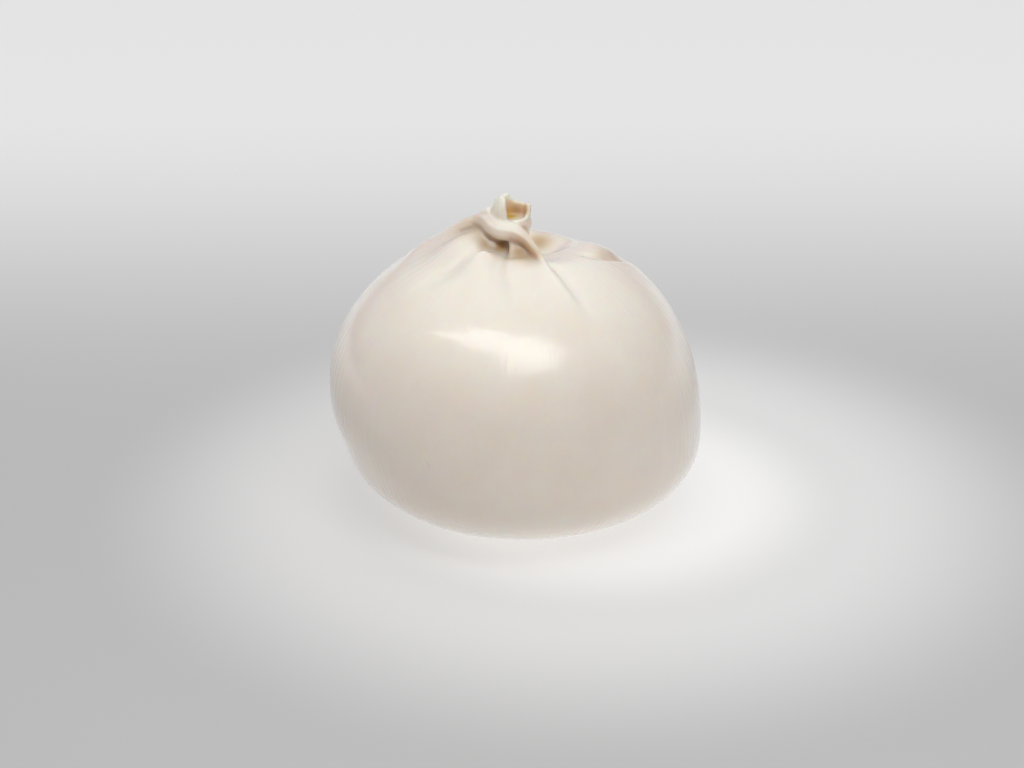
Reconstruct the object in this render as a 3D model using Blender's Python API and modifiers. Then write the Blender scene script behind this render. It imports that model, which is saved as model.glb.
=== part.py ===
"""Burrata: a soft pouch of fresh cheese whose skin is gathered at the top and
tied into a small knot.

The pouch, the strand of skin that crosses the neck and the open tail are
modelled as separate closed skins, fused into one solid, thinned to a light
triangle count and cut flat where the cheese rests.

All lengths are in millimetres and are turned into metres at the end.
X is across the cheese, -Y is its front, +Z is up.
"""

import math

import bmesh
import bpy
from mathutils import Vector
from mathutils.geometry import interpolate_bezier

NAME = "burrata"
METRES = 0.001

# The pouch.
POUCH_RADIUS = 41.5
POUCH_HEIGHT = 63.2
POUCH_DEPTH_RATIO = 0.985
SIDE_SHIFT = 1.4
WAIST_Z = 24.9
WAIST_TILT = -5.9
LOWER_FULLNESS = 2.48
UPPER_FULLNESS_LEFT = 1.98
UPPER_FULLNESS_RIGHT = 2.15
UPPER_FULLNESS_BACK = 0.14
BASE_PRESS = 1.01
LEAN = 0.7
BASE_X = -1.4
RIM_DENT_DEPTH = 0.95
RIM_DENT_Z = 18.4
RIM_DENT_HALF_HEIGHT = 5.4

# The trough that rings the neck: depth by side, place and half width.
TROUGH_FRONT = 2.6
TROUGH_BACK = 3.8
TROUGH_LEFT = 1.8
TROUGH_RIGHT = 2.8
TROUGH_RADIUS = 6.9
TROUGH_INNER_WIDTH = 3.2
TROUGH_OUTER_WIDTH = 3.4
TROUGH_FAR_WIDTH = 7.5

# Creases and pleats of the gathered skin. Each row gives the angle where it
# leaves the neck, how far it swings by its end, the radii where it starts,
# begins to fade and ends, its depth (negative for a raised pleat), its half
# width and how much softer its left flank is than its right.
CREASES = (
    (-105.0, 17.0, 9.0, 17.0, 30.0, 1.05, 1.5, 1.9),
    (-136.0, -12.0, 9.0, 17.0, 27.0, 0.95, 2.4, 0.5),
    (-61.0, 2.0, 8.0, 21.0, 31.0, -0.9, 1.5, 1.6),
    (-51.0, -3.5, 7.0, 19.0, 31.0, 0.8, 1.0, 1.0),
    (-8.0, 37.0, 17.0, 24.5, 30.5, 1.6, 2.4, 0.35),
    (22.0, 0.0, 18.0, 25.0, 40.0, -1.1, 6.0, 1.0),
    (56.0, -34.0, 6.0, 27.0, 37.0, 1.3, 9.0, 1.0),
    (72.0, 0.0, 8.0, 26.0, 37.0, 1.3, 9.0, 1.0),
    (66.0, 0.0, 15.0, 18.0, 25.0, -0.7, 5.0, 1.0),
    (56.0, 8.0, 6.0, 10.0, 15.0, 1.5, 2.4, 1.0),
    (160.0, 0.0, 24.0, 33.0, 41.0, 0.6, 9.0, 1.0),
    (158.0, 0.0, 14.0, 22.0, 28.0, -0.75, 5.0, 1.0),
    (164.0, -12.0, 3.0, 5.5, 22.5, -5.0, 2.8, 1.0),
    (-165.0, -6.0, 3.0, 6.0, 21.0, -4.6, 4.4, 1.0),
    (-130.0, 0.0, 9.0, 10.0, 18.0, -2.0, 3.6, 1.0),
    (-112.0, 0.0, 6.0, 8.0, 13.0, -1.7, 3.2, 1.0),
    (-78.0, 0.0, 7.0, 9.0, 14.0, -1.4, 3.4, 1.0),
    (147.0, 6.0, 6.0, 14.0, 25.0, 1.2, 1.6, 1.6),
    (120.0, 11.0, 3.0, 5.5, 19.0, -3.0, 2.5, 1.0),
    (94.0, 9.0, 5.0, 17.0, 31.0, 1.5, 1.7, 1.8),
    (66.0, -9.0, 3.0, 5.0, 18.0, -1.6, 2.9, 1.0),
    (40.0, 12.0, 6.0, 12.0, 24.0, 0.9, 2.2, 1.8),
)

# The neck: stations of centre x, centre y, height and radius.
NECK = (
    (-1.2, -0.4, 54.0, 9.2),
    (-1.2, 0.6, 60.0, 5.6),
    (-0.9, 0.9, 63.2, 4.0),
    (-0.6, 0.7, 65.4, 3.9),
    (-0.5, 0.3, 67.0, 4.0),
    (-0.5, 0.3, 68.0, 3.6),
)
NECK_FLUTES = 7
NECK_FLUTE_DEPTH = 0.45
NECK_TWIST = 60.0

# Strands of twisted skin: stations of x, y, z, width and thickness. The first
# is the fold that crosses the front of the neck and runs down the pouch, the
# second the ridge on its left, then the thin sheet that hangs under the fold,
# the left lobe of the tail and its peak at the back.
STRANDS = (
    (
        (-9.4, 3.8, 64.8, 3.6, 3.0),
        (-7.4, 2.0, 66.7, 4.8, 3.6),
        (-5.6, -0.6, 67.4, 4.8, 3.4),
        (-4.4, -2.6, 66.9, 4.6, 3.2),
        (-2.6, -4.0, 66.6, 4.6, 3.2),
        (-0.4, -4.7, 66.5, 4.0, 3.0),
        (1.5, -5.5, 65.6, 3.0, 2.7),
        (3.1, -6.9, 64.4, 2.2, 2.4),
        (4.8, -9.3, 62.9, 1.9, 2.3),
        (6.8, -12.7, 60.8, 1.9, 2.3),
        (8.9, -16.5, 58.5, 1.8, 2.1),
        (11.6, -20.4, 55.6, 1.8, 2.0),
        (14.6, -23.4, 52.2, 1.4, 1.6),
    ),
    (
        (-24.6, 9.0, 52.6, 3.0, 2.4),
        (-19.6, 7.4, 56.9, 7.0, 4.8),
        (-15.4, 6.0, 60.0, 7.4, 4.8),
        (-12.0, 4.5, 63.2, 6.4, 4.4),
        (-9.2, 3.0, 65.3, 5.4, 4.0),
        (-7.2, 1.8, 66.2, 4.8, 3.8),
        (-5.7, 1.0, 68.4, 3.8, 3.2),
        (-5.0, 0.6, 70.0, 2.4, 2.2),
    ),
    (
        (0.6, -3.6, 66.0, 4.6, 1.6),
        (0.9, -4.8, 64.6, 5.0, 1.5),
        (1.5, -6.2, 62.9, 6.2, 1.6),
        (2.2, -8.0, 61.4, 7.6, 2.0),
        (2.6, -10.6, 60.2, 8.2, 2.2),
    ),
    (
        (-2.9, -1.8, 66.4, 3.6, 2.8),
        (-3.2, -2.0, 68.6, 3.6, 2.2),
        (-3.5, -1.4, 70.4, 3.8, 1.9),
        (-3.4, -0.4, 71.8, 3.6, 1.8),
        (-3.0, 0.5, 72.6, 2.8, 1.6),
    ),
    (
        (-1.0, 2.6, 66.6, 6.0, 1.8),
        (-1.2, 2.9, 69.2, 5.8, 1.3),
        (-2.0, 2.6, 71.0, 3.4, 1.2),
        (-2.2, 1.9, 72.8, 1.9, 1.1),
    ),
)

# The open tail above the knot: a ruffled cup of skin, higher at the back.
TAIL_CENTRE = (-0.45, 0.2)
TAIL_FOOT_Z = 66.2
TAIL_RIM_Z = 69.6
TAIL_RADIUS = 4.1
TAIL_FLARE = -0.25
TAIL_WALL = 1.05
TAIL_LOBES = (
    (176.0, 38.0, 2.0, 0.0),
    (112.0, 30.0, 2.0, -0.1),
    (55.0, 26.0, 1.0, -0.2),
    (10.0, 22.0, 1.5, 0.0),
    (-62.0, 50.0, -1.4, 0.2),
    (-108.0, 26.0, -0.9, 0.0),
    (-150.0, 20.0, 0.8, 0.0),
)
TAIL_CURL = 0.6

# Meshing.
POUCH_RINGS = 150
POUCH_SIDES = 240
VOXEL = 0.55
SMOOTH_PASSES = 3
KEEP_SHARE = 0.052
BASE_CUT_Z = 0.35


def wrapped(degrees):
    """The same angle between -180 and 180."""
    return (degrees + 180.0) % 360.0 - 180.0


def eased(value, low, high):
    """0 below low, 1 above high and a smooth step between."""
    share = min(max((value - low) / (high - low), 0.0), 1.0)
    return share * share * (3.0 - 2.0 * share)


def trough_depth(radius, degrees):
    """How far the skin sinks around the neck."""
    angle = math.radians(degrees)
    across = math.cos(angle)
    along = math.sin(angle)
    side = TROUGH_RIGHT if across > 0.0 else TROUGH_LEFT
    end = TROUGH_BACK if along > 0.0 else TROUGH_FRONT
    depth = side * across * across + end * along * along
    width = TROUGH_INNER_WIDTH
    if radius > TROUGH_RADIUS:
        far = eased(math.sin(math.radians(degrees - 40.0)) + math.cos(math.radians(degrees)), -0.9, 0.7)
        width = TROUGH_OUTER_WIDTH + (TROUGH_FAR_WIDTH - TROUGH_OUTER_WIDTH) * far
    return depth * math.exp(-(((radius - TROUGH_RADIUS) / width) ** 2))


def crease_depth(radius, degrees):
    """The sum of all creases and pleats at a place on the top of the pouch."""
    depth = 0.0
    for angle, swing, start, fade, end, deep, half, soft in CREASES:
        share = min(max((radius - start) / (end - start), 0.0), 1.0)
        middle = angle + swing * share
        offset = math.radians(wrapped(degrees - middle)) * radius
        width = half * (0.7 + 0.8 * share) * (soft if offset < 0.0 else 1.0)
        along = eased(radius, start - 3.0, start + 2.0) * (1.0 - eased(radius, fade, end))
        depth += deep * along * math.exp(-((offset / width) ** 2))
    return depth


def pouch_base(share, degrees):
    """Radius and height of the plain pouch, from base centre to top."""
    angle = math.radians(degrees)
    side = math.cos(angle)
    climb = math.radians(-90.0 + 180.0 * share)
    waist = WAIST_Z + WAIST_TILT * side
    if climb < 0.0:
        fullness = LOWER_FULLNESS
    else:
        mix = 0.5 + 0.5 * side
        fullness = UPPER_FULLNESS_LEFT + (UPPER_FULLNESS_RIGHT - UPPER_FULLNESS_LEFT) * mix
        fullness += UPPER_FULLNESS_BACK * max(math.sin(angle), 0.0)
    out = max(math.cos(climb), 0.0) ** (2.0 / fullness)
    rise = abs(math.sin(climb)) ** (2.0 / fullness)
    radius = (POUCH_RADIUS + SIDE_SHIFT * side) * out
    if climb < 0.0:
        height = max(waist * (1.0 - BASE_PRESS * rise), 0.0)
    else:
        height = waist + (POUCH_HEIGHT - waist) * rise
    dent = math.exp(-(((height - RIM_DENT_Z) / RIM_DENT_HALF_HEIGHT) ** 2))
    radius -= RIM_DENT_DEPTH * dent * max(-side, 0.0)
    return radius, height


def pouch_point(along, around):
    """A point of the creased pouch for two shares between 0 and 1."""
    degrees = 360.0 * around
    share = along
    radius, height = pouch_base(share, degrees)
    if height > 40.0:
        height -= trough_depth(radius, degrees) + crease_depth(radius, degrees)
    angle = math.radians(degrees)
    shift = BASE_X + LEAN * (max(height, 0.0) / 60.0) ** 1.3
    x = radius * math.cos(angle) + shift
    y = radius * math.sin(angle) * POUCH_DEPTH_RATIO
    return Vector((x, y, height))


def between(stations, share):
    """A smooth value between rows of numbers, for a share from 0 to 1."""
    last = len(stations) - 1
    place = min(max(share, 0.0), 1.0) * last
    index = min(int(place), last - 1)
    part = place - index
    before = stations[max(index - 1, 0)]
    here = stations[index]
    there = stations[index + 1]
    after = stations[min(index + 2, last)]
    row = []
    for a, b, c, d in zip(before, here, there, after):
        row.append(b + 0.5 * part * (c - a + part * (2 * a - 5 * b + 4 * c - d + part * (3 * (b - c) + d - a))))
    return row


def rounded_end(share, cap):
    """1 along a strand, closing to 0 in a round cap at both ends."""
    edge = min(share, 1.0 - share)
    if edge >= cap:
        return 1.0
    return math.sqrt(max(1.0 - (1.0 - edge / cap) ** 2, 0.0))


def neck_point(along, around):
    """A point of the fluted, twisted neck."""
    x, y, z, radius = between(NECK, along)
    twist = math.radians(NECK_TWIST) * along
    angle = math.tau * around
    behind = 0.3 + 0.7 * eased(math.sin(angle), -0.5, 0.5)
    radius += NECK_FLUTE_DEPTH * behind * math.cos(NECK_FLUTES * (angle + twist))
    radius *= rounded_end(along, 0.08)
    return Vector((x + radius * math.cos(angle), y + radius * math.sin(angle), z))


def strand_function(stations):
    """A function that gives the points of one flattened strand."""

    def strand_point(along, around):
        x, y, z, width, thick = between(stations, along)
        ahead = Vector(between(stations, min(along + 0.01, 1.0))[:3])
        behind = Vector(between(stations, max(along - 0.01, 0.0))[:3])
        forward = (ahead - behind).normalized()
        outward = Vector((x, y, 0.0)).normalized() * 0.8 + Vector((0.0, 0.0, 1.0))
        across = forward.cross(outward).normalized()
        normal = across.cross(forward).normalized()
        close = rounded_end(along, 0.06)
        angle = math.tau * around
        sideways = across * (0.5 * width * close * math.cos(angle))
        return Vector((x, y, z)) + sideways + normal * (0.5 * thick * close * math.sin(angle))

    return strand_point


def tail_point(along, around):
    """A point of the open tail: up the outside, over the rim, down inside."""
    degrees = 360.0 * around
    lift = 0.0
    swell = 0.0
    for middle, half, high, wide in TAIL_LOBES:
        weight = math.exp(-((wrapped(degrees - middle) / half) ** 2))
        lift += high * weight
        swell += wide * weight
    rim = TAIL_RIM_Z + lift
    if along < 0.15:
        radius = (TAIL_RADIUS - 0.6) * along / 0.15
        climb = 0.0
    elif along < 0.55:
        climb = (along - 0.15) / 0.4
        radius = TAIL_RADIUS - 0.6 + (0.6 + TAIL_FLARE + swell) * climb
    elif along < 0.65:
        turn = math.pi * (along - 0.55) / 0.1
        climb = 1.0
        radius = TAIL_RADIUS + TAIL_FLARE + swell - TAIL_WALL * 0.5 * (1.0 - math.cos(turn))
        rim += TAIL_WALL * 0.4 * math.sin(turn)
    elif along < 0.92:
        climb = 1.0 - 0.72 * (along - 0.65) / 0.27
        radius = TAIL_RADIUS - TAIL_WALL - 0.6 + (0.6 + TAIL_FLARE + swell) * climb
    else:
        climb = 0.28
        foot = TAIL_RADIUS - 0.6 - TAIL_WALL + 0.28 * (0.6 + TAIL_FLARE + swell)
        radius = foot * (1.0 - along) / 0.08
    angle = math.radians(degrees)
    x = TAIL_CENTRE[0] + radius * math.cos(angle)
    y = TAIL_CENTRE[1] + radius * math.sin(angle) * 0.85
    y -= TAIL_CURL * climb * climb * max(math.sin(angle), 0.0)
    return Vector((x, y, TAIL_FOOT_Z + (rim - TAIL_FOOT_Z) * climb))


def closed_skin(name, point_at, rings, sides):
    """A closed mesh: a grid bent into place by point_at and welded shut."""
    skin = bmesh.new()
    bmesh.ops.create_grid(skin, x_segments=rings, y_segments=sides, size=0.5)
    for vertex in skin.verts:
        vertex.co = point_at(vertex.co.x + 0.5, vertex.co.y + 0.5)
    bmesh.ops.remove_doubles(skin, verts=skin.verts, dist=0.0005)
    bmesh.ops.dissolve_degenerate(skin, edges=skin.edges, dist=0.0001)
    bmesh.ops.recalc_face_normals(skin, faces=skin.faces)
    mesh = bpy.data.meshes.new(name)
    skin.to_mesh(mesh)
    skin.free()
    return mesh


def largest_shell(skin):
    """Keep the outer shell of a fused mesh and drop any sealed bubble."""
    left = set(skin.faces)
    shells = []
    while left:
        seed = left.pop()
        shell = [seed]
        queue = [seed]
        while queue:
            face = queue.pop()
            for edge in face.edges:
                for other in edge.link_faces:
                    if other in left:
                        left.discard(other)
                        shell.append(other)
                        queue.append(other)
        shells.append(shell)
    shells.sort(key=len)
    for shell in shells[:-1]:
        bmesh.ops.delete(skin, geom=shell, context="FACES")


def evaluated(source):
    """The object's mesh with its modifiers applied."""
    depsgraph = bpy.context.evaluated_depsgraph_get()
    return bpy.data.meshes.new_from_object(source.evaluated_get(depsgraph))


def with_modifier(source, kind, **settings):
    """Apply one modifier to the object's mesh."""
    modifier = source.modifiers.new(kind.title(), kind)
    for key, value in settings.items():
        setattr(modifier, key, value)
    mesh = evaluated(source)
    source.modifiers.clear()
    source.data = mesh


for item in list(bpy.data.objects):
    bpy.data.objects.remove(item)

collection = bpy.data.collections.new(NAME)
bpy.context.scene.collection.children.link(collection)

# One mesh that holds every overlapping skin.
fused = bmesh.new()
skins = [closed_skin("pouch", pouch_point, POUCH_RINGS, POUCH_SIDES)]
skins.append(closed_skin("neck", neck_point, 40, 48))
skins.append(closed_skin("tail", tail_point, 90, 96))
for row in STRANDS:
    skins.append(closed_skin("strand", strand_function(row), 20 * len(row), 32))
for skin_mesh in skins:
    fused.from_mesh(skin_mesh)
body_mesh = bpy.data.meshes.new(NAME)
fused.to_mesh(body_mesh)
fused.free()

burrata = bpy.data.objects.new(NAME, body_mesh)
collection.objects.link(burrata)

# Fuse the skins into one, round off the seams and thin the triangles.
with_modifier(burrata, "REMESH", mode="VOXEL", voxel_size=VOXEL)
with_modifier(burrata, "SMOOTH", factor=0.5, iterations=SMOOTH_PASSES)
with_modifier(burrata, "DECIMATE", decimate_type="COLLAPSE", ratio=KEEP_SHARE)

# Cut the base flat, then centre the solid over it and turn it into metres.
solid = bmesh.new()
solid.from_mesh(burrata.data)
largest_shell(solid)
everything = solid.verts[:] + solid.edges[:] + solid.faces[:]
cut = bmesh.ops.bisect_plane(
    solid,
    geom=everything,
    dist=0.0005,
    plane_co=(0.0, 0.0, BASE_CUT_Z),
    plane_no=(0.0, 0.0, 1.0),
    clear_inner=True,
)
rim_edges = [item for item in cut["geom_cut"] if isinstance(item, bmesh.types.BMEdge)]
bmesh.ops.contextual_create(solid, geom=rim_edges)
bmesh.ops.triangulate(solid, faces=solid.faces)
bmesh.ops.recalc_face_normals(solid, faces=solid.faces)
xs = [vertex.co.x for vertex in solid.verts]
ys = [vertex.co.y for vertex in solid.verts]
centre = Vector((0.5 * (min(xs) + max(xs)), 0.5 * (min(ys) + max(ys)), BASE_CUT_Z))
for vertex in solid.verts:
    vertex.co = (vertex.co - centre) * METRES
    if vertex.co.z < 0.00001:
        vertex.co.z = 0.0
solid.to_mesh(burrata.data)
solid.free()

cheese = bpy.data.materials.new("fresh_cheese")
cheese.use_nodes = True
shader = cheese.node_tree.nodes["Principled BSDF"]
shader.inputs["Base Color"].default_value = (0.90, 0.82, 0.70, 1.0)
shader.inputs["Roughness"].default_value = 0.22
shader.inputs["Subsurface Weight"].default_value = 0.4
shader.inputs["Subsurface Scale"].default_value = 0.003
burrata.data.materials.clear()
burrata.data.materials.append(cheese)
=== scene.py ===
# %% [markdown]
# # A burrata, knot and all
# A burrata is a pouch of stretched curd filled with cream. The cheesemaker
# gathers the edge of a warm, glossy sheet over the filling, twists it into a
# neck and tucks it into a knot, and the pouch settles under its own weight.
# This lesson builds that skin as one mesh and gives it a wet, creamy finish.
# Lengths are in millimetres until the skin goes into the model's box, because
# a knot eight millimetres wide is easier to think about that way.

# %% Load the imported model
import math

import bmesh
import bpy
import numpy as np
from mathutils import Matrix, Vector, noise
from mathutils.bvhtree import BVHTree


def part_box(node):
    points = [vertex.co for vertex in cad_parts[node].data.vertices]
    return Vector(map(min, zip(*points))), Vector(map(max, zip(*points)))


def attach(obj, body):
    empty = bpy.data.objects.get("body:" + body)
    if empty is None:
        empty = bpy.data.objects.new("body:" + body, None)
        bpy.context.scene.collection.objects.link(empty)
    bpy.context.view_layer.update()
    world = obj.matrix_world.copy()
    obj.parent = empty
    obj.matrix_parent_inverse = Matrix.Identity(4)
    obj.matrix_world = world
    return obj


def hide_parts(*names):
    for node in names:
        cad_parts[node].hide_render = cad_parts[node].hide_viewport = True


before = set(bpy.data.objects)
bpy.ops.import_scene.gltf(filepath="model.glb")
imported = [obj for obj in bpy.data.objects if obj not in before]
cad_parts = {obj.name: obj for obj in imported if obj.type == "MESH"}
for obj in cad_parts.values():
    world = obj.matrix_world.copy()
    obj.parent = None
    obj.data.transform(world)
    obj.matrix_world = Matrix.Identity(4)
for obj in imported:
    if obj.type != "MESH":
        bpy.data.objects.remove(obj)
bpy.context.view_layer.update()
low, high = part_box("burrata")
print("the solid is", [round(1000 * (b - a), 1) for a, b in zip(low, high)], "mm")

# %% [markdown]
# ## Turning a sphere into skin
# Every fold here starts as a UV sphere, which is closed and has neat poles. It
# starts coarse and is subdivided, which is faster than many segments. Each
# point of the sphere knows how far it is along the shape, from pole to pole,
# and how far around. A function then says where that point goes. The same
# trick makes the pouch, the neck, the strands and the tail.

# %% A helper that moulds a sphere
MM = 0.001
SPHERE_CUTS = 3


def eased(value, start, end):
    """0 below start, 1 above end, and a smooth step between."""
    share = np.clip((value - start) / (end - start), 0.0, 1.0)
    return share * share * (3.0 - 2.0 * share)


def wrapped(degrees):
    """The same angle between -180 and 180."""
    return (degrees + 180.0) % 360.0 - 180.0


def moulded(name, place, rings, sides):
    """A mesh: a sphere whose points are moved by place(along, degrees)."""
    ball = bmesh.new()
    pieces = SPHERE_CUTS + 1
    bmesh.ops.create_uvsphere(
        ball, u_segments=sides // pieces, v_segments=rings // pieces, radius=1.0
    )
    bmesh.ops.subdivide_edges(ball, edges=ball.edges[:], cuts=SPHERE_CUTS, use_grid_fill=True)
    mesh = bpy.data.meshes.new(name)
    ball.to_mesh(mesh)
    ball.free()
    spots = np.empty(len(mesh.vertices) * 3)
    mesh.vertices.foreach_get("co", spots)
    spots = spots.reshape(-1, 3)
    spots = spots / np.linalg.norm(spots, axis=1, keepdims=True)
    along = np.arccos(np.clip(-spots[:, 2], -1.0, 1.0)) / math.pi
    degrees = np.degrees(np.arctan2(spots[:, 1], spots[:, 0]))
    mesh.vertices.foreach_set("co", np.column_stack(place(along, degrees)).ravel())
    return mesh


# %% [markdown]
# ## The pouch
# Full of cream, the pouch bulges like a water balloon and flattens where it
# rests. A superellipse gives that outline with one number for its fullness:
# 2 is an ellipse, and more is boxier. The lower half is boxier than the top,
# the left shoulder slopes a little more than the right, and a soft dent runs
# over the base on the left.

# %% The plain pouch
POUCH_RADIUS = 41.5
POUCH_HEIGHT = 63.2
POUCH_DEPTH_RATIO = 0.985
SIDE_SHIFT = 1.4
WAIST_Z = 24.9
WAIST_TILT = -5.9
LOWER_FULLNESS = 2.48
UPPER_FULLNESS_LEFT = 1.98
UPPER_FULLNESS_RIGHT = 2.15
UPPER_FULLNESS_BACK = 0.14
BASE_PRESS = 1.01
LEAN = 0.7
BASE_X = -1.4
RIM_DENT_DEPTH = 0.95
RIM_DENT_Z = 18.4
RIM_DENT_HALF_HEIGHT = 5.4


def plain_pouch(along, degrees):
    """Radius and height of the uncreased pouch."""
    angle = np.radians(degrees)
    side = np.cos(angle)
    climb = math.pi * (along - 0.5)
    waist = WAIST_Z + WAIST_TILT * side
    mix = 0.5 + 0.5 * side
    upper = UPPER_FULLNESS_LEFT + (UPPER_FULLNESS_RIGHT - UPPER_FULLNESS_LEFT) * mix
    upper = upper + UPPER_FULLNESS_BACK * np.maximum(np.sin(angle), 0.0)
    fullness = np.where(climb < 0.0, LOWER_FULLNESS, upper)
    out = np.maximum(np.cos(climb), 0.0) ** (2.0 / fullness)
    rise = np.abs(np.sin(climb)) ** (2.0 / fullness)
    radius = (POUCH_RADIUS + SIDE_SHIFT * side) * out
    below = np.maximum(waist * (1.0 - BASE_PRESS * rise), 0.0)
    above = waist + (POUCH_HEIGHT - waist) * rise
    height = np.where(climb < 0.0, below, above)
    dent = np.exp(-(((height - RIM_DENT_Z) / RIM_DENT_HALF_HEIGHT) ** 2))
    return radius - RIM_DENT_DEPTH * dent * np.maximum(-side, 0.0), height


# %% [markdown]
# ## Gathers
# Where the skin is drawn together it sinks into a trough round the neck and
# breaks into creases and pleats that fan out over the shoulders. Sculpting
# them by hand would be hard to repeat, so each one is a row of a small table:
# where it starts, how it swings, how deep and how wide it is. One side of a
# crease can be softer than the other. Adding the rows up gives a relief that
# the pouch is pressed into.

# %% The trough and the gathers
TROUGH_FRONT = 2.6
TROUGH_BACK = 3.8
TROUGH_LEFT = 1.8
TROUGH_RIGHT = 2.8
TROUGH_RADIUS = 6.9
TROUGH_INNER_WIDTH = 3.2
TROUGH_OUTER_WIDTH = 3.4
TROUGH_FAR_WIDTH = 7.5
TROUGH_FAR_TURN = 40.0
GATHER_NARROW = 0.7
GATHER_OPENING = 0.8
GATHER_LEAD_IN = 3.0
GATHER_RUN_IN = 2.0

# angle, swing, start, fade, end, depth (raised if negative), half width, softness
CREASES = (
    (-105.0, 17.0, 9.0, 17.0, 30.0, 1.05, 1.5, 1.9),
    (-136.0, -12.0, 9.0, 17.0, 27.0, 0.95, 2.4, 0.5),
    (-61.0, 2.0, 8.0, 21.0, 31.0, -0.9, 1.5, 1.6),
    (-51.0, -3.5, 7.0, 19.0, 31.0, 0.8, 1.0, 1.0),
    (-8.0, 37.0, 17.0, 24.5, 30.5, 1.6, 2.4, 0.35),
    (22.0, 0.0, 18.0, 25.0, 40.0, -1.1, 6.0, 1.0),
    (56.0, -34.0, 6.0, 27.0, 37.0, 1.3, 9.0, 1.0),
    (72.0, 0.0, 8.0, 26.0, 37.0, 1.3, 9.0, 1.0),
    (66.0, 0.0, 15.0, 18.0, 25.0, -0.7, 5.0, 1.0),
    (56.0, 8.0, 6.0, 10.0, 15.0, 1.5, 2.4, 1.0),
    (160.0, 0.0, 24.0, 33.0, 41.0, 0.6, 9.0, 1.0),
    (158.0, 0.0, 14.0, 22.0, 28.0, -0.75, 5.0, 1.0),
    (164.0, -12.0, 3.0, 5.5, 22.5, -5.0, 2.8, 1.0),
    (-165.0, -6.0, 3.0, 6.0, 21.0, -4.6, 4.4, 1.0),
    (-130.0, 0.0, 9.0, 10.0, 18.0, -2.0, 3.6, 1.0),
    (-112.0, 0.0, 6.0, 8.0, 13.0, -1.7, 3.2, 1.0),
    (-78.0, 0.0, 7.0, 9.0, 14.0, -1.4, 3.4, 1.0),
    (147.0, 6.0, 6.0, 14.0, 25.0, 1.2, 1.6, 1.6),
    (120.0, 11.0, 3.0, 5.5, 19.0, -3.0, 2.5, 1.0),
    (94.0, 9.0, 5.0, 17.0, 31.0, 1.5, 1.7, 1.8),
    (66.0, -9.0, 3.0, 5.0, 18.0, -1.6, 2.9, 1.0),
    (40.0, 12.0, 6.0, 12.0, 24.0, 0.9, 2.2, 1.8),
)


def trough(radius, degrees):
    """How far the skin sinks around the neck."""
    across = np.cos(np.radians(degrees))
    along = np.sin(np.radians(degrees))
    side = np.where(across > 0.0, TROUGH_RIGHT, TROUGH_LEFT)
    end = np.where(along > 0.0, TROUGH_BACK, TROUGH_FRONT)
    depth = side * across**2 + end * along**2
    far = eased(np.sin(np.radians(degrees - TROUGH_FAR_TURN)) + across, -0.9, 0.7)
    outer = TROUGH_OUTER_WIDTH + (TROUGH_FAR_WIDTH - TROUGH_OUTER_WIDTH) * far
    width = np.where(radius < TROUGH_RADIUS, TROUGH_INNER_WIDTH, outer)
    return depth * np.exp(-(((radius - TROUGH_RADIUS) / width) ** 2))


def gathers(radius, degrees):
    """The sum of every crease and pleat."""
    depth = np.zeros_like(radius)
    for angle, swing, start, fade, end, deep, half, soft in CREASES:
        share = np.clip((radius - start) / (end - start), 0.0, 1.0)
        offset = np.radians(wrapped(degrees - angle - swing * share)) * radius
        opened = half * (GATHER_NARROW + GATHER_OPENING * share)
        width = opened * np.where(offset < 0.0, soft, 1.0)
        begun = eased(radius, start - GATHER_LEAD_IN, start + GATHER_RUN_IN)
        reach = begun * (1.0 - eased(radius, fade, end))
        depth += deep * reach * np.exp(-((offset / width) ** 2))
    return depth


# %% Press the relief into the pouch
PRESSED_ABOVE_Z = 40.0
LEAN_HEIGHT = 60.0
LEAN_CURVE = 1.3


def pouch_skin(along, degrees):
    """Points of the creased pouch."""
    radius, height = plain_pouch(along, degrees)
    pressed = trough(radius, degrees) + gathers(radius, degrees)
    height = height - np.where(height > PRESSED_ABOVE_Z, pressed, 0.0)
    shift = BASE_X + LEAN * (np.maximum(height, 0.0) / LEAN_HEIGHT) ** LEAN_CURVE
    angle = np.radians(degrees)
    x = radius * np.cos(angle) + shift
    return x, radius * np.sin(angle) * POUCH_DEPTH_RATIO, height


pouch = moulded("pouch", pouch_skin, 480, 720)
print("pouch:", len(pouch.vertices), "points,", len(CREASES), "gathers")

# %% [markdown]
# ## Neck, strands and tail
# The twisted neck is a stubby column with flutes. Strands are flat ribbons
# that follow a few stations; one crosses the front of the neck and runs down
# the pouch as a ridge. The tail is what is left of the sheet above the knot: an
# open cup with an uneven rim. Each is a closed shape of its own for now, set
# well into its neighbours, so that they can be fused afterwards.

# %% A smooth path through stations
# The curve passes through every row, with the slope of its neighbours
def between(stations, share):
    """Smooth values between rows of numbers, for shares from 0 to 1."""
    rows = np.array(stations)
    last = len(rows) - 1
    place = np.clip(share, 0.0, 1.0) * last
    index = np.minimum(place.astype(int), last - 1)
    part = (place - index)[:, None]
    a, b = rows[np.maximum(index - 1, 0)], rows[index]
    c, d = rows[index + 1], rows[np.minimum(index + 2, last)]
    bend = 2.0 * a - 5.0 * b + 4.0 * c - d + part * (3.0 * (b - c) + d - a)
    return (b + 0.5 * part * (c - a + part * bend)).T


def round_cap(share, cap):
    """1 along a strand, closing to 0 in a round cap at both ends."""
    edge = np.clip(np.minimum(share, 1.0 - share) / cap, 0.0, 1.0)
    return np.sqrt(1.0 - (1.0 - edge) ** 2)


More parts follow.
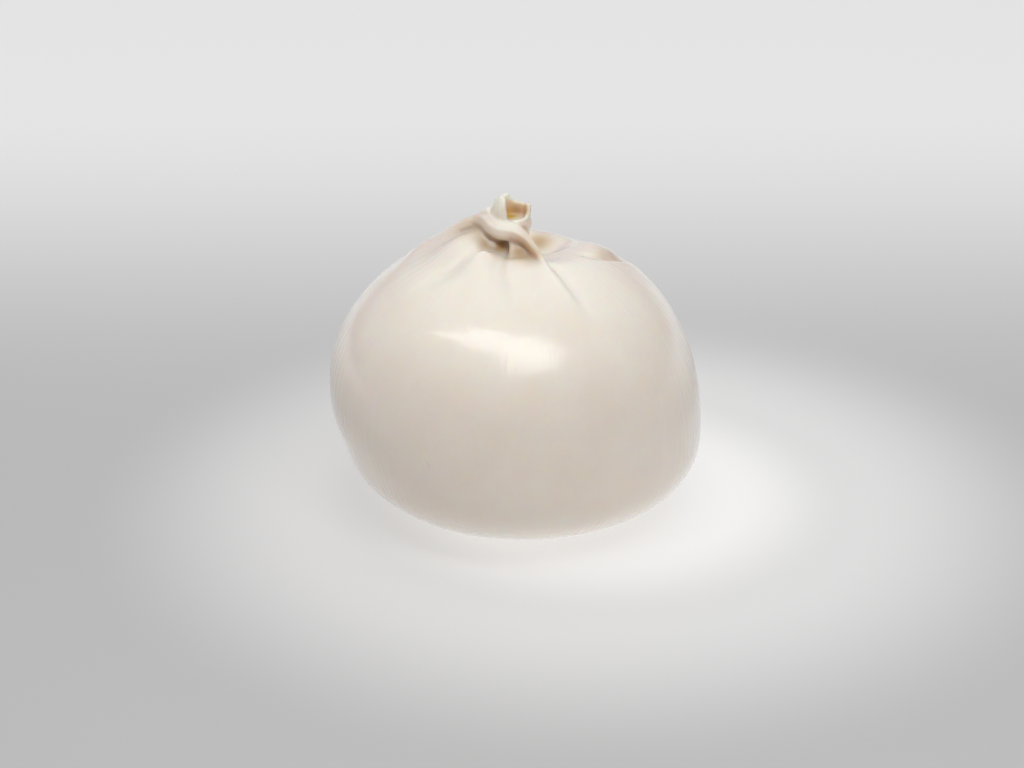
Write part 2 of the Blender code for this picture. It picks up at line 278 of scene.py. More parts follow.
# %% The fluted neck
NECK = (
    (-1.2, -0.4, 54.0, 9.2),
    (-1.2, 0.6, 60.0, 5.6),
    (-0.9, 0.9, 63.2, 4.0),
    (-0.6, 0.7, 65.4, 3.9),
    (-0.5, 0.3, 67.0, 4.0),
    (-0.5, 0.3, 68.0, 3.6),
)
NECK_FLUTES = 7
NECK_FLUTE_DEPTH = 0.45
NECK_FINE_FLUTES = 17.0
NECK_FINE_DEPTH = 0.14
NECK_FRONT_SHARE = 0.3
NECK_TWIST = 60.0
NECK_CAP = 0.08


def neck_skin(along, degrees):
    """Points of the fluted, twisted neck."""
    x, y, z, radius = between(NECK, along)
    angle = np.radians(degrees)
    turn = angle + math.radians(NECK_TWIST) * along
    behind = NECK_FRONT_SHARE + (1.0 - NECK_FRONT_SHARE) * eased(np.sin(angle), -0.5, 0.5)
    radius = radius + NECK_FLUTE_DEPTH * behind * np.cos(NECK_FLUTES * turn)
    radius = radius + NECK_FINE_DEPTH * behind * np.cos(NECK_FINE_FLUTES * turn + 1.0)
    radius = radius * round_cap(along, NECK_CAP)
    return x + radius * np.cos(angle), y + radius * np.sin(angle), z


neck = moulded("neck", neck_skin, 120, 180)
print("neck:", len(neck.vertices), "points")

# %% Where the strands run
# x, y, z, width, thickness at each station
STRANDS = (
    # across the front of the neck and down the pouch
    (
        (-9.4, 3.8, 64.8, 3.6, 3.0),
        (-7.4, 2.0, 66.7, 4.8, 3.6),
        (-5.6, -0.6, 67.4, 4.8, 3.4),
        (-4.4, -2.6, 66.9, 4.6, 3.2),
        (-2.6, -4.0, 66.6, 4.6, 3.2),
        (-0.4, -4.7, 66.5, 4.0, 3.0),
        (1.5, -5.5, 65.6, 3.0, 2.7),
        (3.1, -6.9, 64.4, 2.2, 2.4),
        (4.8, -9.3, 62.9, 1.9, 2.3),
        (6.8, -12.7, 60.8, 1.9, 2.3),
        (8.9, -16.5, 58.5, 1.8, 2.1),
        (11.6, -20.4, 55.6, 1.8, 2.0),
        (14.6, -23.4, 52.2, 1.4, 1.6),
    ),
    # up the left shoulder into the neck
    (
        (-24.6, 9.0, 52.6, 3.0, 2.4),
        (-19.6, 7.4, 56.9, 7.0, 4.8),
        (-15.4, 6.0, 60.0, 7.4, 4.8),
        (-12.0, 4.5, 63.2, 6.4, 4.4),
        (-9.2, 3.0, 65.3, 5.4, 4.0),
        (-7.2, 1.8, 66.2, 4.8, 3.8),
        (-5.7, 1.0, 68.4, 3.8, 3.2),
        (-5.0, 0.6, 70.0, 2.4, 2.2),
    ),
    # a small sheet below the crossing
    (
        (0.6, -3.6, 66.0, 4.6, 1.6),
        (0.9, -4.8, 64.6, 5.0, 1.5),
        (1.5, -6.2, 62.9, 6.2, 1.6),
        (2.2, -8.0, 61.4, 7.6, 2.0),
        (2.6, -10.6, 60.2, 8.2, 2.2),
    ),
    # the curl at the left of the tail
    (
        (-2.9, -1.8, 66.4, 3.6, 2.8),
        (-3.2, -2.0, 68.6, 3.6, 2.2),
        (-3.5, -1.4, 70.4, 3.8, 1.9),
        (-3.4, -0.4, 71.8, 3.6, 1.8),
        (-3.0, 0.5, 72.6, 2.8, 1.6),
    ),
    # the wall behind the tail
    (
        (-1.0, 2.6, 66.6, 6.0, 1.8),
        (-1.2, 2.9, 69.2, 5.8, 1.3),
        (-2.0, 2.6, 71.0, 3.4, 1.2),
        (-2.2, 1.9, 72.8, 1.9, 1.1),
    ),
)


# %% Turn the stations into strands
STRAND_STEP = 0.01
STRAND_CAP = 0.06
STRAND_OUTWARD = 0.8
STRAND_RIBS = 9.0
STRAND_RIB_DEPTH = 0.05
STRAND_RIB_TURN = 5.0
RINGS_PER_STATION = 36
STRAND_SIDES = 90


def unit(vectors):
    """The vectors at length 1."""
    return vectors / np.linalg.norm(vectors, axis=1, keepdims=True)


def strand_skin(stations):
    """A function that gives the points of one flat strand."""

    def place(along, degrees):
        x, y, z, width, thick = between(stations, along)
        ahead = between(stations, np.minimum(along + STRAND_STEP, 1.0))[:3]
        behind = between(stations, np.maximum(along - STRAND_STEP, 0.0))[:3]
        forward = unit((ahead - behind).T)
        away = unit(np.column_stack((x, y, 0.0 * x)))
        outward = away * STRAND_OUTWARD + np.array((0.0, 0.0, 1.0))
        across = unit(np.cross(forward, outward))
        normal = unit(np.cross(across, forward))
        angle = np.radians(degrees)
        ribs = STRAND_RIB_DEPTH * np.cos(STRAND_RIBS * angle + STRAND_RIB_TURN * along)
        close = round_cap(along, STRAND_CAP) * (1.0 + ribs)
        sideways = across * (0.5 * width * close * np.cos(angle))[:, None]
        up = normal * (0.5 * thick * close * np.sin(angle))[:, None]
        return (np.column_stack((x, y, z)) + sideways + up).T

    return place


strands = [
    moulded("strand", strand_skin(row), RINGS_PER_STATION * len(row), STRAND_SIDES)
    for row in STRANDS
]
print("strands:", len(strands))

# %% The open tail
TAIL_CENTRE = (-0.45, 0.2)
TAIL_FOOT_Z = 66.2
TAIL_RIM_Z = 69.6
TAIL_RADIUS = 4.1
TAIL_FLARE = -0.25
TAIL_WALL = 1.05
TAIL_CURL = 0.6
TAIL_SKIRT = 0.6
TAIL_DEPTH_RATIO = 0.85
TAIL_FLOOR = 0.28
# shares of the way from the foot, up and over the rim, to the floor inside
FOOT_END = 0.15
OUTSIDE_END = 0.55
RIM_LENGTH = 0.1
RIM_END = OUTSIDE_END + RIM_LENGTH
FLOOR_LENGTH = 0.08
INSIDE_END = 1.0 - FLOOR_LENGTH
# angle, half width, extra height, extra flare of each lobe of the rim
TAIL_LOBES = (
    (176.0, 38.0, 2.0, 0.0),
    (112.0, 30.0, 2.0, -0.1),
    (55.0, 26.0, 1.0, -0.2),
    (10.0, 22.0, 1.5, 0.0),
    (-62.0, 50.0, -1.4, 0.2),
    (-108.0, 26.0, -0.9, 0.0),
    (-150.0, 20.0, 0.8, 0.0),
)


def tail_skin(along, degrees):
    """Points of the tail: up the outside, over the rim and down inside."""
    lift = np.zeros_like(along)
    swell = np.zeros_like(along)
    for middle, half, tall, wide in TAIL_LOBES:
        weight = np.exp(-((wrapped(degrees - middle) / half) ** 2))
        lift += tall * weight
        swell += wide * weight
    turn = np.pi * np.clip((along - OUTSIDE_END) / RIM_LENGTH, 0.0, 1.0)
    ends = (0.0, FOOT_END, OUTSIDE_END, RIM_END, INSIDE_END, 1.0)
    climb = np.interp(along, ends, (0.0, 0.0, 1.0, 1.0, TAIL_FLOOR, TAIL_FLOOR))
    foot = TAIL_RADIUS - TAIL_SKIRT
    spread = TAIL_SKIRT + TAIL_FLARE + swell
    outside = foot * np.clip(along / FOOT_END, 0.0, 1.0) + spread * climb
    over = foot + TAIL_SKIRT + TAIL_FLARE + swell - TAIL_WALL * 0.5 * (1.0 - np.cos(turn))
    inside = foot - TAIL_WALL + spread * climb
    floor = (foot - TAIL_WALL + TAIL_FLOOR * spread) * (1.0 - along) / FLOOR_LENGTH
    reached = (along < OUTSIDE_END, along < RIM_END, along < INSIDE_END)
    radius = np.select(reached, (outside, over, inside), floor)
    rim = TAIL_RIM_Z + lift + TAIL_WALL * 0.4 * np.sin(turn)
    angle = np.radians(degrees)
    x = TAIL_CENTRE[0] + radius * np.cos(angle)
    y = TAIL_CENTRE[1] + radius * np.sin(angle) * TAIL_DEPTH_RATIO
    y = y - TAIL_CURL * climb**2 * np.maximum(np.sin(angle), 0.0)
    return x, y, TAIL_FOOT_Z + (rim - TAIL_FOOT_Z) * climb


tail = moulded("tail", tail_skin, 200, 180)
print("tail:", len(tail.vertices), "points")

# %% [markdown]
# ## Fusing the skins
# Real skin is one sheet, so the overlapping shapes have to become one surface.
# A voxel remesh does this and rounds the seams where they meet. A fine one is
# made first, as a mould, and smoothed most below the tail, whose rim stays
# crisp. A lighter one, the skin, is made beside it.

# %% Join, remesh and smooth
FINE_VOXEL = 0.26
SKIN_VOXEL = 0.76
CALM_BELOW_Z = 66.5
CRISP_ABOVE_Z = 69.0
CALM_STEPS = 20


def as_object(name, mesh):
    """Put a mesh in the scene."""
    made = bpy.data.objects.new(name, mesh)
    bpy.context.scene.collection.objects.link(made)
    return made


def finished(source, name, *modifiers):
    """A new mesh: the source's with these modifiers applied in turn."""
    for kind, values in modifiers:
        modifier = source.modifiers.new(kind.title(), kind)
        for key, value in values.items():
            setattr(modifier, key, value)
    depsgraph = bpy.context.evaluated_depsgraph_get()
    mesh = bpy.data.meshes.new_from_object(source.evaluated_get(depsgraph))
    mesh.name = name
    source.modifiers.clear()
    return mesh


together = bmesh.new()
for shape in [pouch, neck, tail] + strands:
    together.from_mesh(shape)
bmesh.ops.recalc_face_normals(together, faces=together.faces)
heap_mesh = bpy.data.meshes.new("heap")
together.to_mesh(heap_mesh)
together.free()
heap = as_object("heap", heap_mesh)
mould_mesh = finished(
    heap,
    "mould",
    ("REMESH", {"mode": "VOXEL", "voxel_size": FINE_VOXEL}),
    ("SMOOTH", {"factor": 0.5, "iterations": 3}),
)
mould = as_object("mould", mould_mesh)

# %% Smooth the mould below the tail, and make the lighter skin
calm = mould.vertex_groups.new(name="calm")
heights = np.empty(len(mould_mesh.vertices) * 3)
mould_mesh.vertices.foreach_get("co", heights)
calmness = 1.0 - eased(heights[2::3], CALM_BELOW_Z, CRISP_ABOVE_Z)
steps = np.round(CALM_STEPS * calmness) / CALM_STEPS
for weight in np.unique(steps):
    calm.add(np.flatnonzero(steps == weight).tolist(), float(weight), "REPLACE")
mould_mesh = finished(
    mould, "mould_calm", ("SMOOTH", {"factor": 0.5, "iterations": 14, "vertex_group": "calm"})
)
mould.data = mould_mesh
skin_mesh = finished(heap, "skin", ("REMESH", {"mode": "VOXEL", "voxel_size": SKIN_VOXEL}))
print("mould:", len(mould_mesh.polygons), "faces; skin:", len(skin_mesh.polygons), "faces")

# %% [markdown]
# ## Points where they are needed
# The pouch is smooth and needs few points, but the knot and the scar need
# many. So the light skin is subdivided there alone, and a Shrinkwrap modifier
# draws it tight over the mould. A light smoothing between two such passes
# evens out the spacing of the points.

# %% Extra points where the folds are small
KNOT_RADIUS = 12.5
KNOT_Z = 58.5
SCAR = Vector((-18.4, -36.5, 26.2))
SCAR_RADIUS = 3.2
EXTRA_CUTS = 2


def outer_shell(mesh):
    """Keep the largest shell of a bmesh and drop any sealed bubble."""
    left = set(mesh.faces)
    shells = []
    while left:
        queue = [left.pop()]
        shell = list(queue)
        while queue:
            for edge in queue.pop().edges:
                for other in edge.link_faces:
                    if other in left:
                        left.discard(other)
                        shell.append(other)
                        queue.append(other)
        shells.append(shell)
    shells.sort(key=len)
    for shell in shells[:-1]:
        bmesh.ops.delete(mesh, geom=shell, context="FACES")
    return len(shells)


def near_knot(edge):
    """Whether both ends of an edge are in the knot's neighbourhood."""
    return all(v.co.z > KNOT_Z and v.co.xy.length < KNOT_RADIUS for v in edge.verts)


def near_scar(edge):
    """Whether both ends of an edge are close to the small scar."""
    return all((v.co - SCAR).length < SCAR_RADIUS for v in edge.verts)


skin = bmesh.new()
skin.from_mesh(skin_mesh)
print("shells:", outer_shell(skin))
for _ in range(EXTRA_CUTS):
    chosen = [edge for edge in skin.edges if near_knot(edge) or near_scar(edge)]
    bmesh.ops.subdivide_edges(skin, edges=chosen, cuts=1, use_grid_fill=True)
skin.to_mesh(skin_mesh)
skin.free()

# %% Draw the skin over the mould
draft = as_object("draft", skin_mesh)
fitted = finished(
    draft,
    "burrata_skin",
    ("SHRINKWRAP", {"target": mould, "wrap_method": "NEAREST_SURFACEPOINT"}),
    ("SMOOTH", {"factor": 0.35, "iterations": 2}),
    ("SHRINKWRAP", {"target": mould, "wrap_method": "NEAREST_SURFACEPOINT"}),
)
print("skin:", len(fitted.vertices), "points")

# %% [markdown]
# ## Fibres, a scar and a bubble
# Stretched curd is drawn out in threads, so the skin has faint ridges that run
# from the knot down to the base, lower than a hair is thick. Noise gives both
# them and the slight unevenness of the whole skin. Low on the front the skin
# has a little scar, and a tiny bubble has burst on the strand. All of it is
# moved in the mesh along the normals, so the shape holds in any light.

# %% Press the fine relief into the skin
FIBRE_HEIGHT = 0.012
FIBRES_AROUND = 14.0
FIBRE_STRETCH = 0.04
UNEVEN_HEIGHT = 0.10
UNEVEN_SCALE = 0.09
UNEVEN_SEED = Vector((3.0, 1.0, 7.0))
SCAR_WAY = Vector((0.42, -0.2, -0.88))
SCAR_REACH = 4.0
SCAR_DEPTH = 0.22
SCAR_HALF_LENGTH = 0.9
SCAR_HALF_WIDTH = 0.28
LIP_HEIGHT = 0.06
LIP_HALF_LENGTH = 1.3
LIP_HALF_WIDTH = 0.3
LIP_OFFSET = 0.6
BUBBLE = Vector((-3.7, -5.4, 68.0))
BUBBLE_REACH = 2.0
BUBBLE_DEPTH = 0.35
BUBBLE_RADIUS = 0.33


def relief(point):
    """Height of the fine relief at a point, in millimetres."""
    flat = point.xy.length + 0.001
    around = Vector((point.x / flat * FIBRES_AROUND, point.y / flat * FIBRES_AROUND))
    place = Vector((around.x, around.y, point.z * FIBRE_STRETCH))
    height = FIBRE_HEIGHT * noise.noise(place) * min(flat / FIBRES_AROUND, 1.0)
    height += UNEVEN_HEIGHT * noise.noise(point * UNEVEN_SCALE + UNEVEN_SEED)
    scar = point - SCAR
    if scar.length < SCAR_REACH:
        down = scar.dot(SCAR_WAY)
        aside = (scar - down * SCAR_WAY).length
        groove = -((down / SCAR_HALF_LENGTH) ** 2) - (aside / SCAR_HALF_WIDTH) ** 2
        height -= SCAR_DEPTH * math.exp(groove)
        lip = -((down / LIP_HALF_LENGTH) ** 2) - ((aside - LIP_OFFSET) / LIP_HALF_WIDTH) ** 2
        height += LIP_HEIGHT * math.exp(lip)
    bubble = (point - BUBBLE).length
    if bubble < BUBBLE_REACH:
        height -= BUBBLE_DEPTH * math.exp(-((bubble / BUBBLE_RADIUS) ** 2))
    return height


skin = bmesh.new()
skin.from_mesh(fitted)
skin.normal_update()
normals = [vertex.normal.copy() for vertex in skin.verts]
for vertex, normal in zip(skin.verts, normals):
    vertex.co += normal * relief(vertex.co)
print("relief pressed into", len(normals), "points")

# %% [markdown]
# ## Resting flat
# A soft cheese sits on a small flat spot. Cutting the underside with a plane
# and filling the hole gives exactly that.

# %% Cut the base
BASE_CUT_Z = 0.35
CUT_TOLERANCE = 0.0005
cut = bmesh.ops.bisect_plane(
    skin,
    geom=skin.verts[:] + skin.edges[:] + skin.faces[:],
    dist=CUT_TOLERANCE,
    plane_co=(0.0, 0.0, BASE_CUT_Z),
    plane_no=(0.0, 0.0, 1.0),
    clear_inner=True,
)
rim = [item for item in cut["geom_cut"] if isinstance(item, bmesh.types.BMEdge)]
bmesh.ops.contextual_create(skin, geom=rim)
bmesh.ops.triangulate(skin, faces=[face for face in skin.faces if len(face.verts) > 4])
bmesh.ops.recalc_face_normals(skin, faces=skin.faces)
print("edges round the base:", len(rim))

# %% [markdown]
# ## Into the model's box
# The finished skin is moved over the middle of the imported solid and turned
# into metres. It is drawn in by a hair, so that no point leaves the box.

# %% Place the skin
points = np.array([vertex.co[:] for vertex in skin.verts])
span = points.max(0) - points.min(0)
middle = 0.5 * (points.max(0) + points.min(0))
middle[2] = BASE_CUT_Z
room = np.array([b - a for a, b in zip(low, high)]) / MM
fit = min(1.0, float((room / span).min()))
centre = Vector((0.5 * (low.x + high.x), 0.5 * (low.y + high.y), low.z))
for vertex in skin.verts:
    vertex.co = centre + (vertex.co - Vector(middle)) * (fit * MM)
print("span:", span.round(2), "room:", room.round(2), "fit:", round(fit, 4))

# %% [markdown]
# ## How deep each fold is
# Light that falls into a fold bounces off cream again and again, and comes out
# golden. The material paints that as golden shade in the folds. To measure how
# deep a fold is, rays are sent out from each point near the knot, spread evenly
# over the hemisphere in a sunflower pattern, and the share that hits the cheese
# again is kept on the mesh as an attribute for the material.

# %% Measure the folds
FOLD_REACH = 0.007
FOLD_ABOVE_Z = 0.046
RAYS = 28
RAY_START = 0.00008
FOLD_SMOOTHINGS = 2

tree = BVHTree.FromBMesh(skin)
golden_angle = math.pi * (3.0 - math.sqrt(5.0))
fan = []
for step in range(RAYS):
    lift = math.sqrt((step + 0.5) / RAYS)
    flat = math.sqrt(1.0 - lift * lift)
    fan.append((math.cos(golden_angle * step) * flat, math.sin(golden_angle * step) * flat, lift))
fold = skin.verts.layers.float.new("fold")
skin.normal_update()
for vertex in skin.verts:
    if vertex.co.z < FOLD_ABOVE_Z:
        continue
    normal = vertex.normal
    side = normal.orthogonal().normalized()
    other = normal.cross(side)
    start = vertex.co + normal * RAY_START
    hits = 0
    for a, b, c in fan:
        found = tree.ray_cast(start, side * a + other * b + normal * c, FOLD_REACH)
        hits += found[0] is not None
    vertex[fold] = hits / RAYS
for _ in range(FOLD_SMOOTHINGS):
    nearby = []
    for vertex in skin.verts:
        values = [edge.other_vert(vertex)[fold] for edge in vertex.link_edges]
        nearby.append(sum(values) / len(values))
    for vertex, value in zip(skin.verts, nearby):
        vertex[fold] = 0.5 * vertex[fold] + 0.5 * value
deepest = max(vertex[fold] for vertex in skin.verts)
print("deepest fold sees", round(100 * deepest), "% cheese")

# %% [markdown]
# ## Painted shade in the hollows, and butter
# Light deep in the hollows of the knot comes out golden and dim, and it is
# painted there as golden shade; butterfat that sits in the open tail looks
# yellow. Painting the colour by hand would be hard to repeat, so each is a soft
# round spot around a place in the fold. The spots are added up in two more attributes.

# %% Paint shade into the hollows and butter into the tail
# kind, x, y, z of the middle, how far it spreads, strength
# Spots of the first kind are painted golden shade in the hollows; the butter spot is the yellow of
# butterfat in the tail.
SHADE_AND_BUTTER_SPOTS = (
    ("painted_hollow_shade", 0.9, -8.0, 63.6, 3.0, 0.95),
    ("painted_hollow_shade", 3.6, -10.0, 63.2, 2.2, 0.7),
    ("painted_hollow_shade", -3.2, -4.2, 63.0, 1.9, 1.0),
    ("painted_hollow_shade", -6.2, -3.8, 63.8, 2.4, 0.75),
    ("painted_hollow_shade", -8.6, -1.2, 66.0, 2.6, 0.5),
    ("painted_hollow_shade", -11.0, 0.4, 65.0, 3.4, 0.35),
    ("painted_hollow_shade", 2.5, 0.2, 69.2, 1.5, 0.75),
    ("painted_hollow_shade", 0.3, 1.9, 69.0, 1.7, 0.65),
    ("painted_hollow_shade", 5.4, 12.0, 58.1, 3.2, 0.85),
    ("painted_hollow_shade", 2.6, -3.6, 66.4, 1.6, 0.5),
    ("painted_hollow_shade", 19.2, 2.8, 58.4, 2.3, 0.35),
    ("painted_hollow_shade", 21.6, 5.6, 56.9, 2.6, 0.45),
    ("painted_hollow_shade", 24.0, 8.6, 55.0, 2.8, 0.35),
    ("butter", -1.2, 1.0, 68.0, 1.7, 1.0),
)

SPOT_REACH = 2.5
spot_layers = {kind: skin.verts.layers.float.new(kind) for kind in ("painted_hollow_shade", "butter")}
for kind, x, y, z, spread, strength in SHADE_AND_BUTTER_SPOTS:
    place = centre + (Vector((x, y, z)) - Vector(middle)) * MM
    for vertex in skin.verts:
        distance = (vertex.co - place).length / (spread * MM)
        if distance < SPOT_REACH:
            more = strength * math.exp(-(distance**2))
            vertex[spot_layers[kind]] = 1.0 - (1.0 - vertex[spot_layers[kind]]) * (1.0 - more)
print("pools:", len(SHADE_AND_BUTTER_SPOTS))

# %% [markdown]
# ## One mesh for the whole cheese
# The pouch, its knot and its tail are one skin, so they become one object. Its
# faces are shaded smooth, and the helper objects are removed.

# %% Make the cheese
for face in skin.faces:
    face.smooth = True
burrata_mesh = bpy.data.meshes.new("burrata_cheese")
skin.to_mesh(burrata_mesh)
skin.free()
burrata = as_object("burrata_cheese", burrata_mesh)
for scrap in (heap, mould, draft):
    bpy.data.objects.remove(scrap)
print("burrata:", len(burrata_mesh.polygons), "faces")

# %% [markdown]
# ## A wet, creamy finish
# Fresh cheese lets light in a few millimetres, red furthest, which is why its
# shadows are warm. Subsurface scattering gives that. A thin film of whey makes
# the surface glossy, which is the shader's coat, and threads of curd ripple
# that film, so reflections break up along the fibres.

# %% Start the cheese material
cheese = bpy.data.materials.new("fresh_cheese")
cheese.use_nodes = True
nodes = cheese.node_tree.nodes
links = cheese.node_tree.links
shader = nodes["Principled BSDF"]


def node(kind, label, **inputs):
    """A node of the cheese material with some of its inputs set."""
    made = nodes.new(kind)
    made.label = label
    for key, value in inputs.items():
        made.inputs[key].default_value = value
    return made


# %% [markdown]
# ## Threads in the material
# The threads run from the knot to the base. A noise texture gets them from
# coordinates that change fast around the cheese and slowly down it: the
# direction from the knot's axis, and the height, each scaled by its own number.

# %% Noise along the threads
coordinates = node("ShaderNodeTexCoord", "place")
flatten = node("ShaderNodeVectorMath", "drop height")
flatten.operation = "MULTIPLY"
flatten.inputs[1].default_value = (1.0, 1.0, 0.0)
direction = node("ShaderNodeVectorMath", "direction from the knot")
direction.operation = "NORMALIZE"
tall = node("ShaderNodeVectorMath", "height only")
tall.operation = "MULTIPLY"
tall.inputs[1].default_value = (0.0, 0.0, 1.0)
links.new(coordinates.outputs["Object"], flatten.inputs[0])
links.new(flatten.outputs[0], direction.inputs[0])
links.new(coordinates.outputs["Object"], tall.inputs[0])


def fibre_place(across, down):
    """Coordinates stretched along the fibres, finer across than down."""
    wide = node("ShaderNodeVectorMath", "across the fibres")
    wide.operation = "SCALE"
    wide.inputs["Scale"].default_value = across
    deep = node("ShaderNodeVectorMath", "down the fibres")
    deep.operation = "SCALE"
    deep.inputs["Scale"].default_value = down
    both = node("ShaderNodeVectorMath", "fibre place")
    both.operation = "ADD"
    links.new(direction.outputs[0], wide.inputs[0])
    links.new(tall.outputs[0], deep.inputs[0])
    links.new(wide.outputs[0], both.inputs[0])
    links.new(deep.outputs[0], both.inputs[1])
    return both


COARSE_ACROSS, COARSE_DOWN = 42.0, 60.0
FINE_ACROSS, FINE_DOWN = 85.0, 110.0
coarse = node("ShaderNodeTexNoise", "coarse threads", Scale=1.0, Detail=1.0, Roughness=0.5)
links.new(fibre_place(COARSE_ACROSS, COARSE_DOWN).outputs[0], coarse.inputs["Vector"])
fine = node("ShaderNodeTexNoise", "fine threads", Scale=1.0, Detail=0.0, Roughness=0.5)
links.new(fibre_place(FINE_ACROSS, FINE_DOWN).outputs[0], fine.inputs["Vector"])
print("threads:", coarse.label, "and", fine.label)

# %% [markdown]
# ## Cream, painted golden shade and butter
# The skin is a warm cream that varies a little, in soft clouds. A Mix node
# paints golden shade where a fold is deep and in the painted hollow spots, and
# another turns it yellow where butterfat sits in the tail. The attributes
# measured above say where, so the colours stay in their folds from every side.

# %% Colour the cheese
CREAM_DARK = (0.885, 0.808, 0.694, 1.0)
CREAM_LIGHT = (0.915, 0.848, 0.752, 1.0)
# The golden fold colour is painted shade: the dim, golden light deep in folds and hollows.
PAINTED_FOLD_SHADE = (0.47, 0.29, 0.11, 1.0)
BUTTER_YELLOW = (0.66, 0.44, 0.015, 1.0)
GOLDEN_FROM = 0.35
GOLDEN_TO = 0.95
GOLDEN_MOST = 0.6
cloud = node("ShaderNodeTexNoise", "curd clouds", Scale=90.0, Detail=4.0, Roughness=0.55)
links.new(coordinates.outputs["Object"], cloud.inputs["Vector"])

tint = node("ShaderNodeValToRGB", "cream")
tint.color_ramp.elements[0].position = 0.3
tint.color_ramp.elements[0].color = CREAM_DARK
tint.color_ramp.elements[1].position = 0.7
tint.color_ramp.elements[1].color = CREAM_LIGHT
links.new(cloud.outputs["Fac"], tint.inputs["Fac"])

depth_of_fold = node("ShaderNodeAttribute", "fold")
depth_of_fold.attribute_name = "fold"
depth_ramp = node("ShaderNodeMapRange", "how golden")
depth_ramp.inputs["From Min"].default_value = GOLDEN_FROM
depth_ramp.inputs["From Max"].default_value = GOLDEN_TO
depth_ramp.inputs["To Max"].default_value = GOLDEN_MOST
links.new(depth_of_fold.outputs["Fac"], depth_ramp.inputs["Value"])
# Painted shade: this golden mix darkens deep folds and the hollow spots.
golden = node("ShaderNodeMix", "golden folds")
golden.data_type = "RGBA"
golden.inputs["B"].default_value = PAINTED_FOLD_SHADE
# This attribute holds the spots of painted shade in the hollows.
painted_hollow_shade = node("ShaderNodeAttribute", "painted_hollow_shade")
painted_hollow_shade.attribute_name = "painted_hollow_shade"
either = node("ShaderNodeMath", "fold or whey")
either.operation = "MAXIMUM"
links.new(depth_ramp.outputs["Result"], either.inputs[0])
links.new(painted_hollow_shade.outputs["Fac"], either.inputs[1])
links.new(either.outputs[0], golden.inputs["Factor"])
links.new(tint.outputs["Color"], golden.inputs["A"])
yellow = node("ShaderNodeMix", "butter in the tail")
yellow.data_type = "RGBA"
yellow.inputs["B"].default_value = BUTTER_YELLOW
butter = node("ShaderNodeAttribute", "butter")
butter.attribute_name = "butter"
links.new(butter.outputs["Fac"], yellow.inputs["Factor"])
links.new(golden.outputs["Result"], yellow.inputs["A"])
links.new(yellow.outputs["Result"], shader.inputs["Base Color"])

# %% [markdown]
# ## The wet film
# Bump on the coat alone ripples the film and leaves the cheese under it soft.
# The body gets only a trace of it. The scattering radius is longest in red,
# and its scale is a few millimetres, as in fresh curd.

# %% Ripple the film and let light in
coarse_bump = node("ShaderNodeBump", "coarse thread relief", Strength=0.6, Distance=0.0002)
fine_bump = node("ShaderNodeBump", "fine thread relief", Strength=0.12, Distance=0.00002)
links.new(coarse.outputs["Fac"], coarse_bump.inputs["Height"])
links.new(fine.outputs["Fac"], fine_bump.inputs["Height"])
links.new(coarse_bump.outputs["Normal"], fine_bump.inputs["Normal"])
links.new(fine_bump.outputs["Normal"], shader.inputs["Coat Normal"])
soft_bump = node("ShaderNodeBump", "soft thread relief", Strength=0.04, Distance=0.00006)
links.new(coarse.outputs["Fac"], soft_bump.inputs["Height"])
links.new(soft_bump.outputs["Normal"], shader.inputs["Normal"])

shader.subsurface_method = "RANDOM_WALK"
shader.inputs["Roughness"].default_value = 0.28
shader.inputs["Subsurface Weight"].default_value = 0.85
shader.inputs["Subsurface Radius"].default_value = (1.0, 0.62, 0.34)
shader.inputs["Subsurface Scale"].default_value = 0.0035
shader.inputs["IOR"].default_value = 1.45
shader.inputs["Coat Weight"].default_value = 1.0
shader.inputs["Coat Roughness"].default_value = 0.04
shader.inputs["Coat IOR"].default_value = 1.5
burrata_mesh.materials.append(cheese)
print("material nodes:", len(nodes))

# %% [markdown]
# ## In place of the plain solid
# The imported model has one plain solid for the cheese. The finished skin rides
# on the same body and is shown in its place.

# %% Hand the cheese to the model
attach(burrata, "root")
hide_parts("burrata")
print(burrata.name, "stands in for the solid")

# %% [markdown]
# ## A pale table
# A bright table throws light back up under the belly of the cheese. This one
# is a plain sheet, large enough that its edge never shows, with a grey surface
# that also glows, though it is no lamp: most around the cheese, fading out
# within half a metre, and again further back. That paints a soft pool of light
# with no hard edge, which lights the belly and fills the shadow under the cheese.

# %% The table
TABLE_HALF_SIZE = 40.0
TABLE_GREY = (0.3, 0.29, 0.288, 1.0)
TABLE_ROUGHNESS = 0.6
GLOW_COLOUR = (1.0, 1.0, 0.99, 1.0)
sheet = bmesh.new()
bmesh.ops.create_grid(sheet, x_segments=1, y_segments=1, size=TABLE_HALF_SIZE)
table_mesh = bpy.data.meshes.new("table")
sheet.to_mesh(table_mesh)
sheet.free()
table = as_object("table", table_mesh)
# The table's grey surface glows: painted light that makes it look white and lights the cheese from
# below.
white = bpy.data.materials.new("glowing_table")
white.use_nodes = True
surface = white.node_tree.nodes["Principled BSDF"]
surface.inputs["Base Color"].default_value = TABLE_GREY
surface.inputs["Roughness"].default_value = TABLE_ROUGHNESS
surface.inputs["Emission Color"].default_value = GLOW_COLOUR
table_mesh.materials.append(white)
print("table:", 2.0 * TABLE_HALF_SIZE, "m wide")

# %% The glow of the table
# The glow is painted light: a pool of light round the cheese and a brighter part behind it.
# share of the way out from the middle, or from front to back, and strength
NEAR_GLOW = ((0.0, 0.6), (0.06, 0.42), (0.19, 0.18), (1.0, 0.0))
BACK_GLOW = ((0.0, 0.0), (1.0, 0.52))
GLOW_MIDDLE = (0.018, 0.003, 0.0)
NEAR_FROM, NEAR_TO = 0.03, 0.5
BACK_FROM, BACK_TO = -0.08, 0.3
GLOW_BLEND = 0.2
white_nodes = white.node_tree.nodes
white_links = white.node_tree.links
spot = white_nodes.new("ShaderNodeTexCoord")


